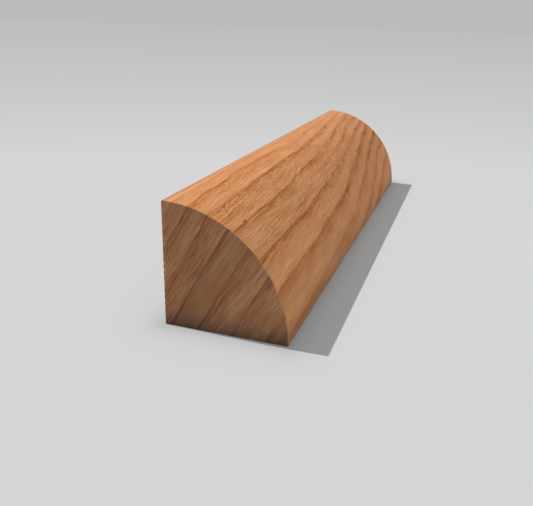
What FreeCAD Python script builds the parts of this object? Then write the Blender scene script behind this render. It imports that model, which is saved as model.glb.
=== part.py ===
import FreeCAD, Part
import Sketcher
import os
from math import radians

# Quarter round moulding: one short stick of solid timber, milled to a quarter of a circle.
# It lies on its floor face, with its wall face upright. X runs from the wall to the toe,
# Y along the stick between the two saw cuts, and Z up from the floor.

doc = FreeCAD.newDocument("quarter_round_moulding")

driving_sizes = [
    ("profile_radius", "19.0", "height of the wall face and width of the floor face"),
    ("stick_length", "100.0", "between the two saw cuts"),
    ("long_arris_radius", "0.2", "sanded ease on the heel, toe and lip"),
    ("end_arris_radius", "0.12", "ease round each saw cut"),
]
sizes = doc.addObject("Spreadsheet::Sheet", "Sizes")
for row, (alias, value, meaning) in enumerate(driving_sizes, start=1):
    sizes.set(f"A{row}", alias)
    sizes.set(f"B{row}", value)
    sizes.set(f"C{row}", meaning)
    sizes.setAlias(f"B{row}", alias)
doc.recompute()


def origin_plane(body, role):
    """The body's own origin plane with this role."""
    return next(plane for plane in body.Origin.OriginFeatures if plane.Role == role)


def draw_profile(body):
    """Quarter circle across the grain: floor face, curved face and wall face round the heel."""
    sketch = body.newObject("Sketcher::SketchObject", "QuarterProfile")
    sketch.AttachmentSupport = (origin_plane(body, "XZ_Plane"), "")
    sketch.MapMode = "FlatFace"

    radius = float(sizes.profile_radius)
    heel = FreeCAD.Vector(-radius / 2, 0, 0)
    toe = heel + FreeCAD.Vector(radius, 0, 0)
    lip = heel + FreeCAD.Vector(0, radius, 0)
    circle = Part.Circle(heel, FreeCAD.Vector(0, 0, 1), radius)

    floor_line = sketch.addGeometry(Part.LineSegment(heel, toe))
    curve = sketch.addGeometry(Part.ArcOfCircle(circle, 0, radians(90)))
    wall_line = sketch.addGeometry(Part.LineSegment(lip, heel))

    start, end, centre = 1, 2, 3
    origin_point = (-1, 1)
    sketch.addConstraint(Sketcher.Constraint("Coincident", floor_line, end, curve, start))
    sketch.addConstraint(Sketcher.Constraint("Coincident", curve, end, wall_line, start))
    sketch.addConstraint(Sketcher.Constraint("Coincident", wall_line, end, floor_line, start))
    sketch.addConstraint(Sketcher.Constraint("Coincident", curve, centre, floor_line, start))
    sketch.addConstraint(Sketcher.Constraint("Horizontal", floor_line))
    sketch.addConstraint(Sketcher.Constraint("Vertical", wall_line))
    sketch.addConstraint(Sketcher.Constraint("PointOnObject", floor_line, start, -1))
    sketch.addConstraint(
        Sketcher.Constraint("DistanceX", floor_line, start, *origin_point, radius / 2))
    sketch.renameConstraint(sketch.ConstraintCount - 1, "HeelOffset")
    sketch.addConstraint(Sketcher.Constraint("Radius", curve, radius))
    sketch.renameConstraint(sketch.ConstraintCount - 1, "FaceRadius")
    sketch.setExpression("Constraints.HeelOffset", "Sizes.profile_radius / 2")
    sketch.setExpression("Constraints.FaceRadius", "Sizes.profile_radius")
    return sketch


def edges_where(shape, wanted):
    """Names of the shape's edges that the test accepts."""
    return [f"Edge{number}" for number, edge in enumerate(shape.Edges, start=1) if wanted(edge)]


def runs_lengthwise(edge):
    return edge.BoundBox.YLength > float(sizes.stick_length) / 2


def bounds_saw_cut(edge):
    middle = edge.CenterOfMass.y
    return edge.BoundBox.YLength < edge.Length / 2 and abs(middle) > float(sizes.stick_length) / 4


def ease(body, name, edge_test, radius_alias):
    """Rounds the edges of the body's last feature that the test accepts."""
    base = body.Tip
    fillet = body.newObject("PartDesign::Fillet", name)
    fillet.Base = (base, edges_where(base.Shape, edge_test))
    fillet.setExpression("Radius", f"Sizes.{radius_alias}")
    doc.recompute()


def make_moulding():
    """Profile run along the stick, then eased along its three arrises and round its cuts."""
    body = doc.addObject("PartDesign::Body", "Moulding")
    body.Label = "moulding"
    sketch = draw_profile(body)
    stick = body.newObject("PartDesign::Pad", "Stick")
    stick.Profile = sketch
    stick.SideType = "Symmetric"
    stick.setExpression("Length", "Sizes.stick_length")
    doc.recompute()
    ease(body, "LongArrises", runs_lengthwise, "long_arris_radius")
    ease(body, "EndArrises", bounds_saw_cut, "end_arris_radius")
    return body


pieces = [make_moulding()]
doc.recompute()

for item in doc.Objects:
    if {"Invalid", "Error"} & set(item.State):
        raise RuntimeError(f"{item.Label} did not build: {item.State}")
for piece in pieces:
    if piece.Shape.isNull() or not piece.Shape.isValid():
        raise RuntimeError(f"{piece.Label} has no valid solid")

os.makedirs("parts", exist_ok=True)
for piece in pieces:
    piece.Shape.exportStep(f"parts/{piece.Label}.step")
    box = piece.Shape.optimalBoundingBox(False, False)
    print(f"{piece.Label}: {box.XLength:.2f} x {box.YLength:.2f} x {box.ZLength:.2f} mm, "
          f"{piece.Shape.Volume / 1000:.2f} cm3")
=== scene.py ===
from math import cos, pi, radians, sin
import bpy
from mathutils import Matrix, Vector


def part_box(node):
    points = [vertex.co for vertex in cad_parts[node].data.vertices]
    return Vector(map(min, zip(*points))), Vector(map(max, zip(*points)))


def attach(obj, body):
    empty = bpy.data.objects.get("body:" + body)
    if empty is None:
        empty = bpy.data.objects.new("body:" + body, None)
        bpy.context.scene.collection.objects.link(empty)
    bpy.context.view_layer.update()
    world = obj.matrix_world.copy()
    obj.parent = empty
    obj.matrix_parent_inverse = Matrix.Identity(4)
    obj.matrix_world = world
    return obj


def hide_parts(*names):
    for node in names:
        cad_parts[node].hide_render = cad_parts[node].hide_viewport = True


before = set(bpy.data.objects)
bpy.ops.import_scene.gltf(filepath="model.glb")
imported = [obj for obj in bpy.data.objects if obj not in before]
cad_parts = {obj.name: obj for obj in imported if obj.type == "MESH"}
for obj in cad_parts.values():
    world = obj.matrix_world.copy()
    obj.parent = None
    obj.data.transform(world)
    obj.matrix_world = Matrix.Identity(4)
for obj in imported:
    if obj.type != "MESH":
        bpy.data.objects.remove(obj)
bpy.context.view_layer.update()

mm = 0.001
tiny = 0.0000001               # keeps a division away from nothing

# A short stick of quarter round moulding in bare reddish-brown timber, lying on its floor face.
# The growth rings are one solid pattern, shared by the shape and the colour. It takes a bend
# just under the curved face and on both saw cuts.


# Node formulas

class Term:
    # a node output that can be used in a formula, in a geometry tree and in a material alike

    def __init__(self, tree, socket):
        self.tree = tree
        self.socket = socket

    def maths(self, operation, *others):
        node = self.tree.nodes.new("ShaderNodeMath")
        node.operation = operation
        for socket, value in zip(node.inputs, (self, *others)):
            feed(self.tree, socket, value)
        return Term(self.tree, node.outputs[0])

    def __add__(self, other):
        return self.maths("ADD", other)

    def __sub__(self, other):
        return self.maths("SUBTRACT", other)

    def __rsub__(self, other):
        return self * -1.0 + other

    def __mul__(self, other):
        return self.maths("MULTIPLY", other)

    def __truediv__(self, other):
        return self.maths("DIVIDE", other)

    def __pow__(self, other):
        return self.maths("POWER", other)

    def least(self, other):
        return self.maths("MINIMUM", other)

    def most(self, other):
        return self.maths("MAXIMUM", other)

    def between(self, low, high):
        return self.most(low).least(high)

    def above(self, other):
        return self.maths("GREATER_THAN", other)

    def ramp(self, start, end):
        # 0 at start, 1 at end, straight between them
        node = self.tree.nodes.new("ShaderNodeMapRange")
        for name, value in (("Value", self), ("From Min", start), ("From Max", end)):
            feed(self.tree, node.inputs[name], value)
        return Term(self.tree, node.outputs[0])

    def step(self, start, end):
        # the same with soft ends
        smooth = self.ramp(start, end)
        smooth.socket.node.interpolation_type = "SMOOTHSTEP"
        return smooth

    def blend(self, first, second):
        # first where this is 0, second where it is 1
        return self * (second - first) + first


def feed(tree, socket, value):
    if isinstance(value, Term):
        tree.links.new(value.socket, socket)
    elif isinstance(value, bpy.types.NodeSocket):
        tree.links.new(value, socket)
    else:
        socket.default_value = value


def point(tree, x, y, z):
    node = tree.nodes.new("ShaderNodeCombineXYZ")
    for socket, value in zip(node.inputs, (x, y, z)):
        feed(tree, socket, value)
    return node.outputs[0]


def parts(tree, vector):
    node = tree.nodes.new("ShaderNodeSeparateXYZ")
    tree.links.new(vector, node.inputs[0])
    return [Term(tree, socket) for socket in node.outputs]


def distance(*gaps):
    # how far off a point is whose gaps at right angles to each other are given
    total = gaps[0] * gaps[0]
    for gap in gaps[1:]:
        total = total + gap * gap
    return total.maths("SQRT")


def noise(tree, layer, x, y, z):
    # cloudy noise from 0 to 1, made crisper where the layer has edges
    shifts = layer.get("shift", (0.0, 0.0, 0.0))
    scaled = [value * scale for value, scale in zip((x, y, z), layer["scale"])]
    place = [value + shift if shift else value for value, shift in zip(scaled, shifts)]
    node = tree.nodes.new("ShaderNodeTexNoise")
    node.noise_dimensions = "3D"
    feed(tree, node.inputs["Vector"], point(tree, *place))
    node.inputs["Scale"].default_value = 1.0
    node.inputs["Detail"].default_value = layer.get("detail", 2.0)
    node.inputs["Roughness"].default_value = layer.get("roughness", 0.5)
    cloudy = Term(tree, node.outputs[0])
    return cloudy.step(*layer["edges"]) if "edges" in layer else cloudy


def curveThrough(tree, value, places):
    # smooth curve through the places
    node = tree.nodes.new("ShaderNodeFloatCurve")
    line = node.mapping.curves[0]
    line.points[0].location = places[0]
    line.points[1].location = places[-1]
    for place in places[1:-1]:
        line.points.new(*place)
    node.mapping.update()
    feed(tree, node.inputs["Value"], value)
    return Term(tree, node.outputs[0])


def curveBetween(tree, value, places, top):
    # the same, with places in the value's own units and levels of up to top
    start, end = places[0][0], places[-1][0]
    scaled = [((where - start) / (end - start), level / top) for where, level in places]
    return curveThrough(tree, (value - start) / (end - start), scaled) * top


def stepped(tree, number, values):
    # the value of the list that the whole part of the number counts to
    node = tree.nodes.new("ShaderNodeValToRGB")
    node.color_ramp.interpolation = "CONSTANT"
    stops = node.color_ramp.elements
    for k, value in enumerate(values):
        if k > 1:
            stops.new(k / len(values))
        stops[k].position = k / len(values)
        stops[k].color = (value, value, value, 1.0)
    feed(tree, node.inputs[0], (number.maths("FLOOR") + 0.5) / len(values))
    return Term(tree, node.outputs[0])


def placed(share, shares, values):
    # a value between those of the places along the stick
    total = values[0]
    for k in range(1, len(values)):
        total = total + (values[k] - values[k - 1]) * share.ramp(shares[k - 1], shares[k])
    return total


def mixed(tree, share, first, second):
    # one colour laid over another
    node = tree.nodes.new("ShaderNodeMix")
    node.data_type = "RGBA"
    feed(tree, node.inputs[0], share)
    feed(tree, node.inputs[6], first)
    feed(tree, node.inputs[7], second)
    return node.outputs[2]


# Growth rings

# Each line starts a ring: dark at first, then paler up to the next line. Lines are counted from
# the wall's top corner and measured across the rings from the heel, in millimetres.
rings = {
    "lean": 60,                # degrees from the floor, seen from the near end
    "shares": [0.0, 0.25, 0.5, 0.7, 0.85, 1.0],          # of the length, where the lines are placed
    "lines": [
        [-9.3, -8.0, -5.9, -2.8, 1.3, 3.2, 6.4, 10.9, 15.6, 20.8, 26.0, 32.0],
        [-9.3, -8.6, -7.1, -3.5, 1.0, 3.2, 6.1, 10.2, 14.6, 19.6, 25.0, 31.0],
        [-9.3, -8.5, -6.3, -3.8, -0.4, 1.9, 4.6, 8.8, 13.1, 17.5, 21.5, 27.0],
        [-9.3, -8.6, -7.1, -5.0, -2.1, 0.5, 2.7, 5.8, 9.2, 13.4, 17.5, 22.5],
        [-9.3, -8.8, -7.8, -6.0, -3.9, -2.0, 0.6, 3.0, 6.0, 9.2, 13.0, 18.5],
        [-9.3, -8.9, -8.3, -7.0, -5.3, -2.8, -0.6, 1.2, 3.8, 6.8, 9.3, 15.5],
    ],
    "strengths": [             # of the wood before the first line, then after each line
        [0.5, 0.5, 0.7, 1.1, 0.75, 1.0, 0.0, 0.95, 0.9, 0.7, 0.6, 0.7, 0.7],
        [0.5, 0.5, 0.6, 1.0, 0.8, 0.9, 0.0, 0.95, 0.9, 0.5, 0.6, 0.7, 0.7],
        [0.5, 0.5, 0.5, 0.6, 0.9, 0.8, 0.3, 0.75, 1.0, 0.7, 0.5, 0.8, 0.7],
        [0.5, 0.5, 0.5, 0.6, 0.9, 0.6, 0.7, 0.7, 0.95, 0.8, 0.7, 0.8, 0.7],
        [0.5, 0.5, 0.4, 0.4, 0.7, 0.6, 0.6, 0.8, 0.9, 0.9, 0.8, 0.9, 0.7],
        [0.4, 0.4, 0.4, 0.4, 0.9, 0.8, 0.8, 0.7, 1.3, 1.1, 0.7, 0.8, 0.7],
    ],
    "strengthLead": 0.2,       # in rings, how far before its line a strength starts
    "lowest": -11.0,
    "highest": 36.0,
    "crisp": [(0.0, 1.0), (0.06, 0.9), (0.2, 0.5), (0.5, 0.22), (0.8, 0.03), (0.95, 0.0),
              (1.0, 1.0)],
    "faded": [(0.0, 1.0), (0.1, 0.82), (0.25, 0.48), (0.4, 0.18), (0.6, 0.04), (0.85, 0.22),
              (1.0, 1.0)],
    "fadedAlong": (0.25, 0.95),            # share of the length
    "fadedAcross": (3.0, 8.0),             # mm
    "fadedLow": 0.6,
    "slowWobble": 0.8,         # mm
    "slowNoise": {"scale": (0.10, 0.10, 0.13), "detail": 1.0},
    "quickWobble": 0.13,       # in rings
    "quickNoise": {"scale": (0.5, 0.45, 0.55), "detail": 3.0, "roughness": 0.6},
    "bend": 2.3,               # mm, of the lower rings just under the curved face
    "bendDepth": (0.995, 0.975),           # share of the radius
    "bendAcross": (-3.0, 6.0),             # mm
    "sawnDepth": (0.12, 0.06),             # mm
}


def ringField(tree, position, radius, length):
    # where a point lies in the wood: ring number, and how far across, along and round in mm
    x, y, z = parts(tree, position)
    outwards = (x + radius / 2) / mm
    upwards = z / mm
    along = (y + length / 2) / mm
    lean = radians(rings["lean"])
    across = outwards * sin(lean) - upwards * cos(lean)
    around = upwards * sin(lean) + outwards * cos(lean)
    slow = noise(tree, rings["slowNoise"], across, around, along) - 0.5
    quick = noise(tree, rings["quickNoise"], across, around, along) - 0.5
    reach = distance(outwards, upwards) / (radius / mm)
    share = along / (length / mm)
    half = length / mm / 2
    sawnStart, sawnFull = [half - depth for depth in rings["sawnDepth"]]
    sawn = (along - half).maths("ABSOLUTE").step(sawnStart, sawnFull)
    straight = across + slow * rings["slowWobble"]
    bend = reach.step(*rings["bendDepth"]).most(sawn)
    bend = bend * across.step(*rings["bendAcross"]) * rings["bend"]
    calm = ringNumber(tree, straight, share)
    number = ringNumber(tree, straight + bend, share) + quick * rings["quickWobble"]
    return {"number": number, "calm": calm, "share": share, "across": across, "around": around,
            "along": along, "outwards": outwards, "upwards": upwards, "sawn": sawn}


def ringNumber(tree, across, share):
    # how many lines have been passed
    span = rings["highest"] - rings["lowest"]
    scaled = (across - rings["lowest"]) / span
    numbers = []
    for lines in rings["lines"]:
        count = len(lines) + 1
        places = [((line - rings["lowest"]) / span, (k + 1) / count) for k, line in enumerate(lines)]
        numbers.append(curveThrough(tree, scaled, [(0, 0)] + places + [(1, 1)]) * count)
    return placed(share, rings["shares"], numbers)


def ringDepth(tree, field, number):
    # 1 on the dark line that starts a ring, down to 0 before the next, weaker in faint rings
    counted = number + rings["strengthLead"]
    strength = placed(field["share"], rings["shares"],
                      [stepped(tree, counted, strengths) for strengths in rings["strengths"]])
    turn = number.maths("FRACT")
    crisp = curveThrough(tree, turn, rings["crisp"])
    faded = curveThrough(tree, turn, rings["faded"])
    fading = field["across"].step(*rings["fadedAcross"]) * rings["fadedLow"]
    fading = (field["share"].step(*rings["fadedAlong"]) + fading).least(1.0)
    return (fading * (1.0 - field["sawn"])).blend(crisp, faded) * strength


def ringTone(tree, number, tones):
    # how much paler each ring is as a whole, with no steps between rings
    count = len(tones)
    places = [((k + 0.5) / count, tone + 0.5) for k, tone in enumerate(tones)]
    places = [(0.0, places[0][1])] + places + [(1.0, places[-1][1])]
    return curveThrough(tree, number / count, places) - 0.5


# The moulding's shape

boxLow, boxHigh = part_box("moulding")
moulding = {
    "radius": boxHigh.z - boxLow.z,
    "length": boxHigh.y - boxLow.y,
    "longArris": 0.2 * mm,
    "endArris": 0.12 * mm,
    "sectionSteps": 62,
    "lengthSteps": 346,
    "arrisSteps": 4,
    "reliefDepth": 0.02 * mm,
}
mouldingInputs = {
    "Radius": "radius", "Length": "length", "Long Arris": "longArris", "End Arris": "endArris",
    "Section Steps": "sectionSteps", "Length Steps": "lengthSteps", "Arris Steps": "arrisSteps",
    "Relief Depth": "reliefDepth",
}


def steppedPlace(share, steps, arrisSteps, arrisShare):
    # spreads even steps so that the first and last few fall on the arrises
    zone = arrisSteps / steps
    start = (share / zone).between(0.0, 1.0)
    middle = ((share - zone) / (1.0 - zone * 2.0)).between(0.0, 1.0)
    end = ((share - 1.0) / zone + 1.0).between(0.0, 1.0)
    return start * arrisShare + middle * (1.0 - arrisShare * 2.0) + end * arrisShare


def mouldingTree(material):
    tree = bpy.data.node_groups.new("quarterRoundShape", "GeometryNodeTree")
    tree.interface.new_socket("Geometry", in_out="OUTPUT", socket_type="NodeSocketGeometry")
    for name, key in mouldingInputs.items():
        kind = "NodeSocketInt" if isinstance(moulding[key], int) else "NodeSocketFloat"
        tree.interface.new_socket(name, in_out="INPUT", socket_type=kind)
    given = tree.nodes.new("NodeGroupInput")
    radius, length, longArris, endArris, sectionSteps, lengthSteps, arrisSteps, relief = [
        Term(tree, given.outputs[name]) for name in mouldingInputs]

    block = tree.nodes.new("GeometryNodeMeshCube")
    feed(tree, block.inputs["Size"], (1.0, 1.0, 1.0))
    feed(tree, block.inputs["Vertices X"], sectionSteps + 1)
    feed(tree, block.inputs["Vertices Y"], lengthSteps + 1)
    feed(tree, block.inputs["Vertices Z"], sectionSteps + 1)

    place = tree.nodes.new("GeometryNodeInputPosition").outputs[0]
    a, b, c = [part + 0.5 for part in parts(tree, place)]
    u = steppedPlace(a, sectionSteps, arrisSteps, longArris / radius)
    w = steppedPlace(c, sectionSteps, arrisSteps, longArris / radius)
    y = (steppedPlace(b, lengthSteps, arrisSteps, endArris / length) - 0.5) * length

    # the block's square section becomes a quarter circle about the heel
    reach = u.most(w)
    lean = u.least(w) / reach.most(tiny)
    lower = u.above(w)                     # 1 on the half next to the floor
    turn = lower.blend(1.0, -1.0) * (lean * (-pi / 4)) + (1.0 - lower) * (pi / 2)
    x = reach * turn.maths("COSINE") * radius
    z = reach * turn.maths("SINE") * radius

    # nearest point of the section shrunk by the long arris, then out again to the rounded outline
    inner = radius - longArris
    corner = (inner * inner - longArris * longArris).maths("SQRT")
    pull = (inner / distance(x, z).most(tiny)).least(1.0)
    coreX = (x * pull).between(longArris, corner)
    coreZ = (z * pull).between(longArris, corner)
    offX = x - coreX
    offZ = z - coreZ
    off = distance(offX, offZ).most(tiny)
    outer = (longArris / off).least(1.0)
    seat = ((longArris - endArris) / off).least(1.0)
    seatX = coreX + offX * seat
    seatZ = coreZ + offZ * seat
    seatEnd = length / 2 - endArris
    seatY = y.between(seatEnd * -1.0, seatEnd)

    # the saw cuts' arrises in the same way
    outX = offX * (outer - seat)
    outZ = offZ * (outer - seat)
    outY = y - seatY
    out = distance(outX, outY, outZ).most(tiny)
    shrink = (endArris / out).least(1.0)
    heel = radius * -0.5
    smooth = point(tree, seatX + outX * shrink + heel, seatY + outY * shrink, seatZ + outZ * shrink)

    # rings stand a hair proud of the softer wood between them
    field = ringField(tree, smooth, radius, length)
    sunk = (1.0 - ringDepth(tree, field, field["number"])).most(0.0) * relief
    px, py, pz = parts(tree, smooth)
    carved = point(tree, px - outX / out * sunk, py - outY / out * sunk, pz - outZ / out * sunk)

    setPlace = tree.nodes.new("GeometryNodeSetPosition")
    tree.links.new(block.outputs["Mesh"], setPlace.inputs["Geometry"])
    tree.links.new(carved, setPlace.inputs["Position"])
    joined = tree.nodes.new("GeometryNodeMergeByDistance")         # corner points that coincide
    joined.inputs["Distance"].default_value = 0.001 * mm
    tree.links.new(setPlace.outputs[0], joined.inputs["Geometry"])
    smoothFaces = tree.nodes.new("GeometryNodeSetShadeSmooth")
    tree.links.new(joined.outputs[0], smoothFaces.inputs["Geometry"])
    realize = tree.nodes.new("GeometryNodeRealizeInstances")
    tree.links.new(smoothFaces.outputs[0], realize.inputs[0])
    finish = tree.nodes.new("GeometryNodeSetMaterial")
    finish.inputs["Material"].default_value = material
    tree.links.new(realize.outputs[0], finish.inputs["Geometry"])
    result = tree.nodes.new("NodeGroupOutput")
    tree.links.new(finish.outputs[0], result.inputs[0])
    return tree


def makeMoulding(material):
    tree = mouldingTree(material)
    holder = bpy.data.objects.new("mouldingHolder", bpy.data.meshes.new("mouldingHolder"))
    bpy.context.scene.collection.objects.link(holder)
    shape = holder.modifiers.new("quarterRoundShape", "NODES")
    shape.node_group = tree
    for item in tree.interface.items_tree:
        if item.in_out == "INPUT":
            shape[item.identifier] = moulding[mouldingInputs[item.name]]
    bpy.context.view_layer.update()
    evaluated = holder.evaluated_get(bpy.context.evaluated_depsgraph_get())
    mesh = bpy.data.meshes.new_from_object(evaluated)
    mesh.name = "mouldingStick"
    bpy.data.objects.remove(holder)        # and its modifier
    stick = bpy.data.objects.new("mouldingStick", mesh)
    bpy.context.scene.collection.objects.link(stick)
    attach(stick, "root")
    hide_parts("moulding")
    print("moulding:", len(mesh.polygons), "faces")


# Timber

# The wood's brightness is 1 at its mean. Rings, figure and cloud change it with their colour, so
# that darker wood is redder; fibres and pores hardly change its colour.
timber = {
    "colour": (0.655, 0.281, 0.113),
    "woodPower": (0.62, 1.22, 1.72),       # red, green and blue
    "fibrePower": (0.87, 1.08, 1.24),
    "hueShift": (-0.21, 0.0, 0.71),
    "grainPerRing": 4.0,
    "fibreSlope": 0.05,                    # grain per mm along the stick
    "straightReach": 6.0,                  # mm
    "woodLevel": 1.08,
    "figureTone": 0.64,
    "cloudTone": 0.48,
    "streakTone": 0.13,
    "fibreTone": 0.19,
    "patchRange": (0.6, 1.4),              # of the fibres' strength
    "speckTone": 0.30,

    "ringTone": 0.46,
    "ringCloud": 2.2,                      # rings are darker in the cloud's pale parts
    "ringFigure": 0.12,                    # in rings, how far figure and streaks move the lines
    "ringStreak": 0.04,
    "blotTone": 0.7,                       # ring lines come and go, most at the far end
    "blotStart": 0.2,
    "blotAlong": (0.15, 0.6),              # share of the length
    "toneShares": [0.0, 0.5, 1.0],
    "ringTones": [             # of each ring at the near end, halfway and at the far end
        [0.0, 0.03, 0.03, 0.05, 0.04, 0.0, 0.0, 0.10, -0.10, -0.05, 0.0, 0.0, 0.0],
        [0.0, 0.0, 0.0, -0.02, 0.02, 0.0, 0.0, 0.10, -0.05, 0.0, 0.0, 0.0, 0.0],
        [0.0, 0.0, 0.0, -0.04, 0.0, -0.02, -0.02, -0.07, -0.03, -0.02, 0.03, 0.03, 0.0],
    ],

    "clearAcross": [(-12.0, 0.75), (-7.0, 0.78), (-3.0, 0.95), (3.0, 1.6), (7.0, 1.0), (12.0, 0.5),
                    (20.0, 0.4)],          # how clear the fibres are
    "clearAlong": [(0.0, 1.15), (25.0, 0.95), (50.0, 0.75), (75.0, 0.42), (100.0, 0.22)],
    "clearTop": 2.0,
    "poreTone": 0.38,
    "poreStart": 0.3,                      # of the pores' strength outside the rings
    "poreRings": 1.6,
    "poreClear": 1.2,
    "poreAcross": (8.0, 4.5),              # mm
    "poreLow": 0.5,

    "topHighlightTone": 0.14,                      # painted highlight: paler along the lit top of the curved face, towards the wall's top corner
    "topHighlightAcross": (-2.0, -7.5),
    "floorShadeTone": 0.07,                       # painted shade and a painted grey reflection of the floor: darker and greyer close to the floor
    "floorReflectionGrey": 0.10,
    "floorShadeHeight": (3.5, 0.5),               # mm
    "shadeHue": 0.8,
    "farHue": 0.1,
    "farAlong": (0.5, 1.0),

    "sawnReflectionColour": (0.500, 0.480, 0.460, 1.0),          # painted reflection: a grey veil mixed over both saw cuts
    "sawnReflectionGrey": 0.07,
    "sawnRingReflectionGrey": 0.05,
    "sawnTones": [0.0, 0.0, 0.0, -0.03, -0.02, -0.09, -0.10, 0.05, 0.12, -0.05, -0.05, 0.0, 0.0],
    "sawnClear": 1.2,
    "sawnPores": 0.6,
    "sawnFaint": 0.65,                     # of the rings' strength at the wall's top corner
    "sawnFaintAcross": (-3.5, -5.5),
    "sawnWoodPower": 1.32,
    "sawnThreadPower": 1.45,
    "sawnShadeHue": 1.6,
    "sawnHue": (0.04, 0.19),
    "sawnHueAcross": (-2.0, 12.0),
    "edgeSpeckTone": 0.35,                      # brighter specks along the wall edge of the saw cut
    "edgeSpeckReach": (0.7, 0.2),               # mm

    "roughness": 0.6,
    "specular": 0.05,
    "bumpHeight": 0.0012,                  # mm
}

# Scales and shifts run across the grain, round the rings and along the stick.
layers = {
    "streak": {"scale": (2.8, 0.15, 0.09), "roughness": 0.6, "edges": (0.33, 0.67)},
    "fibre": {"scale": (6.5, 0.2, 0.25), "shift": (11.0, 0.0, 0.0), "detail": 1.0,
              "edges": (0.36, 0.64)},
    "figure": {"scale": (1.1, 0.12, 0.10), "shift": (7.0, 0.0, 0.0), "detail": 3.0,
               "roughness": 0.6},
    "cloud": {"scale": (0.25, 0.15, 0.07), "shift": (0.0, 0.0, 3.0)},
    "hue": {"scale": (2.6, 0.2, 0.15), "shift": (51.0, 0.0, 0.0), "detail": 3.0, "roughness": 0.6},
    "shade": {"scale": (5.5, 0.25, 0.6), "shift": (61.0, 0.0, 0.0), "detail": 1.0},
    "blots": {"scale": (0.6, 0.15, 0.36), "shift": (17.0, 0.0, 0.0), "detail": 1.0,
              "edges": (0.35, 0.65)},
    "pores": {"scale": (5.0, 0.35, 1.3), "shift": (31.0, 0.0, 0.0), "detail": 1.0,
              "edges": (0.53, 0.66)},
    "speck": {"scale": (4.2, 0.4, 1.6), "shift": (71.0, 0.0, 0.0), "detail": 1.0},
    "patches": {"scale": (1.2, 0.3, 0.22), "shift": (91.0, 0.0, 0.0), "edges": (0.35, 0.65)},
    "edgeSpecks": {"scale": (1.4, 1.6, 1.0), "edges": (0.52, 0.60)},
}


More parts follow.
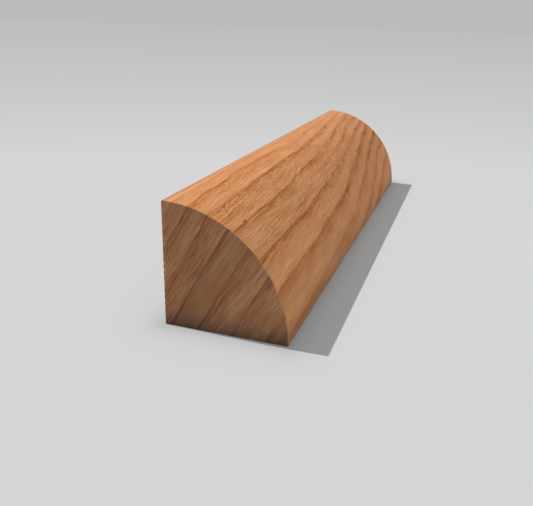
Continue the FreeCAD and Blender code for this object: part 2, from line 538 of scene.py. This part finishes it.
def timberMaterial():
    material = bpy.data.materials.new("bareTimber")
    material.use_nodes = True
    tree = material.node_tree
    shader = tree.nodes["Principled BSDF"]
    place = tree.nodes.new("ShaderNodeTexCoord").outputs["Object"]
    field = ringField(tree, place, moulding["radius"], moulding["length"])
    across, around, along = field["across"], field["around"], field["along"]
    share, sawn = field["share"], field["sawn"]
    uncut = 1.0 - sawn

    # fibres are drawn out long and straight beside the near saw cut
    grain = field["calm"] * timber["grainPerRing"]
    run = (along * along + timber["straightReach"] ** 2).maths("SQRT") - timber["straightReach"]
    flow = grain + run * timber["fibreSlope"]
    streak = noise(tree, layers["streak"], flow, around, run) - 0.5
    fibre = noise(tree, layers["fibre"], flow, around, run) - 0.5
    figure = noise(tree, layers["figure"], grain, around, along) - 0.5
    cloud = noise(tree, layers["cloud"], grain, around, along) - 0.5
    speck = noise(tree, layers["speck"], flow, around, run) - 0.5
    patches = noise(tree, layers["patches"], grain, around, along).blend(*timber["patchRange"])
    clear = curveBetween(tree, across, timber["clearAcross"], timber["clearTop"])
    clear = clear * curveBetween(tree, along, timber["clearAlong"], timber["clearTop"])
    clear = sawn.blend(clear, timber["sawnClear"])

    # ring lines
    wobble = figure * timber["ringFigure"] + streak * clear * timber["ringStreak"]
    depth = ringDepth(tree, field, field["number"] + wobble)
    faint = sawn * across.step(*timber["sawnFaintAcross"])
    depth = depth * faint.blend(1.0, timber["sawnFaint"])
    blots = noise(tree, layers["blots"], grain, around, along) - 0.5
    blots = blots * share.step(*timber["blotAlong"]).blend(timber["blotStart"], 1.0) * uncut
    depth = depth * (blots * timber["blotTone"] + 1.0)
    tone = placed(share, timber["toneShares"],
                  [ringTone(tree, field["number"], tones) for tones in timber["ringTones"]])
    tone = sawn.blend(tone, ringTone(tree, field["number"], timber["sawnTones"]))

    # pores lie in the rings, and brighter specks lie along the saw cut's wall edge
    pores = noise(tree, layers["pores"], flow, around, run)
    pores = pores * (depth * timber["poreRings"] + timber["poreStart"]).least(1.0)
    pores = pores * clear.least(timber["poreClear"]) * sawn.blend(1.0, timber["sawnPores"])
    pores = pores * across.step(*timber["poreAcross"]).blend(timber["poreLow"], 1.0)
    edgeSpecks = noise(tree, layers["edgeSpecks"], field["outwards"], field["upwards"], along)
    edgeSpecks = edgeSpecks * field["outwards"].step(*timber["edgeSpeckReach"]) * sawn

    # brightness of the wood and of the threads over it
    # where the painted shade and the painted grey floor reflection lie, close to the floor
    low = field["upwards"].step(*timber["floorShadeHeight"])
    wood = figure * timber["figureTone"] + cloud * timber["cloudTone"] + timber["woodLevel"]
    wood = wood - depth * (cloud * timber["ringCloud"] + 1.0) * timber["ringTone"]
    wood = wood + (streak + fibre * sawn) * clear * timber["streakTone"]
    threads = fibre * patches * uncut * timber["fibreTone"] + speck * timber["speckTone"]
    threads = threads * clear - pores * timber["poreTone"] + edgeSpecks * timber["edgeSpeckTone"] + 1.0
    # painted highlight along the top of the curved face
    threads = threads + across.step(*timber["topHighlightAcross"]) * uncut * timber["topHighlightTone"]
    # painted shade close to the floor
    threads = threads + tone - low * timber["floorShadeTone"]
    wood = wood ** sawn.blend(1.0, timber["sawnWoodPower"])
    threads = threads ** sawn.blend(1.0, timber["sawnThreadPower"])

    # colour
    hue = noise(tree, layers["hue"], flow, around, along) - 0.5
    shade = noise(tree, layers["shade"], flow, around, run) - 0.5
    hue = hue + shade * clear * sawn.blend(timber["shadeHue"], timber["sawnShadeHue"])
    hue = hue + share.step(*timber["farAlong"]) * timber["farHue"]
    hue = hue + sawn * across.step(*timber["sawnHueAcross"]).blend(*timber["sawnHue"])
    powers = zip(timber["colour"], timber["woodPower"], timber["fibrePower"], timber["hueShift"])
    channels = [wood ** woodPower * threads ** fibrePower * (hue * shift + 1.0) * colour
                for colour, woodPower, fibrePower, shift in powers]
    # painted reflection: the saw cuts, more in their ring lines, and the wood close to the floor are
    # mixed towards grey
    grey = sawn * (depth * timber["sawnRingReflectionGrey"] + timber["sawnReflectionGrey"]) + low * timber["floorReflectionGrey"]
    colour = mixed(tree, grey, point(tree, *channels), timber["sawnReflectionColour"])
    tree.links.new(colour, shader.inputs["Base Color"])
    shader.inputs["Roughness"].default_value = timber["roughness"]
    shader.inputs["Specular IOR Level"].default_value = timber["specular"]

    bump = tree.nodes.new("ShaderNodeBump")
    bump.inputs["Distance"].default_value = timber["bumpHeight"] * mm
    feed(tree, bump.inputs["Height"], (fibre + streak) * 0.5 - pores)
    tree.links.new(bump.outputs[0], shader.inputs["Normal"])
    print("timber:", len(tree.nodes), "nodes")
    return material


# Stage, lights and camera

# Lengths are in metres. The floor is plain, and its paint has the fade, a painted soft shade and a
# painted cool tint beside the stick.
stage = {
    "half": 4.0,
    "pale": 0.672,             # lit floor near the stick
    "sky": 0.496,
    "dusk": 0.502,             # floor far off
    "duskGain": 0.0335,        # brighter by this over the distance from duskPlace
    "duskPlace": (0.030, -0.123),
    "contactShade": 0.28,           # painted shade: darker by this right beside the stick
    "contactReach": 0.0022,
    "glow": (0.16, 0.08, 0.04),            # share of its light the floor gets from the wall face, taken out of its paint as a painted cool tint
    "glowEnds": 0.5,                       # of it at the ends of the stick
    "glowRight": 0.25,                     # the curved face and the saw cut throw less
    "glowFront": 0.15,
    "glowStart": 0.0001,
    "bounce": 0.54,            # what the floor throws back onto the stick, beyond its contact
    "bounceReach": (0.0007, 0.0055),
    "world": 0.125,
}
lamps = {                      # angles in degrees
    "keySun": {"source": (-0.838, 0.028, 1.0), "strength": 0.738, "angle": 0.4,
               "colour": (1.010, 0.972, 0.959), "shadow": True},
    "fillSun": {"source": (0.655, 0.0, 0.756), "strength": 0.406, "angle": 30.0,
                "colour": (0.975, 1.053, 1.09), "shadow": False},
}
view = {                       # degrees and mm
    "lens": 41.13,
    "place": (29.86, -121.46, 42.34),
    "turned": 18.48,
    "tipped": 20.95,
    "rolled": 1.41,
}


def seenDirectly(tree):
    # 1 for what the camera sees, also in a mirror or through glass, 0 for the light on the stick
    rays = tree.nodes.new("ShaderNodeLightPath")
    camera, glossy, glass = [Term(tree, rays.outputs[name]) for name in (
        "Is Camera Ray", "Is Glossy Ray", "Is Transmission Ray")]
    return camera.most(glossy).most(glass)


def facing(gap, height):
    # how much of an upright face the floor sees from this far off, 1 right beside it
    return 1.0 - gap / distance(gap, height)


def makeFloor():
    mesh = bpy.data.meshes.new("studioFloor")
    half = stage["half"]
    mesh.from_pydata([(-half, -half, 0), (half, -half, 0), (half, half, 0), (-half, half, 0)], [],
                     [(0, 1, 2, 3)])
    floor = bpy.data.objects.new("studioFloor", mesh)
    bpy.context.scene.collection.objects.link(floor)
    material = bpy.data.materials.new("paleFloor")
    material.use_nodes = True
    tree = material.node_tree
    shader = tree.nodes["Principled BSDF"]
    shader.inputs["Roughness"].default_value = 1.0
    shader.inputs["Specular IOR Level"].default_value = 0.0
    x, y, z = parts(tree, tree.nodes.new("ShaderNodeTexCoord").outputs["Object"])
    radius, length = moulding["radius"], moulding["length"]

    # fade to the back
    away = distance(x - stage["duskPlace"][0], y - stage["duskPlace"][1]).most(tiny)
    shown = (away ** -1.0 * stage["duskGain"] + stage["dusk"]).least(stage["pale"])

    # painted soft shade beside the stick, and a painted cool tint that takes out the warm glow the
    # wood throws there
    besideX = (x.maths("ABSOLUTE") - radius / 2).most(0.0)
    besideY = (y.maths("ABSOLUTE") - length / 2).most(0.0)
    beside = distance(besideX, besideY)
    contactShade = (beside / -stage["contactReach"]).maths("EXPONENT") * stage["contactShade"]
    shown = shown * (1.0 - contactShade)
    inside = length / 2 - y.maths("ABSOLUTE")
    sideGlow = (inside / distance(inside, besideX)).blend(stage["glowEnds"], 1.0)
    sideGlow = sideGlow * facing(besideX, radius) * x.above(0.0).blend(1.0, stage["glowRight"])
    frontGlow = facing(besideY, radius) * (besideY / beside.most(stage["glowStart"]))
    glow = sideGlow + frontGlow * stage["glowFront"]

    bounced = beside.step(*stage["bounceReach"]) * stage["bounce"]
    grey = seenDirectly(tree).blend(bounced, shown)
    colour = [grey * (glow * -share + 1.0) for share in stage["glow"]]
    tree.links.new(point(tree, *colour), shader.inputs["Base Color"])
    mesh.materials.append(material)
    print("floor:", stage["half"] * 2, "m wide")


def makeWorld():
    world = bpy.data.worlds.new("studio")
    bpy.context.scene.world = world
    world.use_nodes = True
    tree = world.node_tree
    background = tree.nodes["Background"]
    strength = seenDirectly(tree).blend(stage["world"], stage["sky"])
    feed(tree, background.inputs["Strength"], strength)
    background.inputs["Color"].default_value = (1, 1, 1, 1)


def makeSun(name, source, strength, angle, colour, shadow):
    lamp = bpy.data.lights.new(name, "SUN")
    lamp.color = colour
    lamp.energy = strength * pi
    lamp.angle = radians(angle)
    lamp.use_shadow = shadow
    sun = bpy.data.objects.new(name, lamp)
    bpy.context.scene.collection.objects.link(sun)
    sun.rotation_euler = Vector(source).to_track_quat("Z", "Y").to_euler()


def makeCamera():
    lens = bpy.data.cameras.new("camera")
    lens.lens = view["lens"]
    lens.sensor_width = 36
    lens.clip_start = 0.005
    lens.clip_end = 20
    camera = bpy.data.objects.new("camera", lens)
    bpy.context.scene.collection.objects.link(camera)
    camera.location = Vector(view["place"]) * mm
    turned = Matrix.Rotation(radians(view["turned"]), 3, "Z")
    tipped = Matrix.Rotation(radians(90 - view["tipped"]), 3, "X")
    rolled = Matrix.Rotation(radians(view["rolled"]), 3, "Z")
    camera.rotation_euler = (turned @ tipped @ rolled).to_euler()
    bpy.context.scene.camera = camera


makeMoulding(timberMaterial())
makeFloor()
makeWorld()
for name, values in lamps.items():
    makeSun(name, **values)
makeCamera()
bpy.context.scene.view_settings.view_transform = "Standard"
print("stage, lights and camera ready")
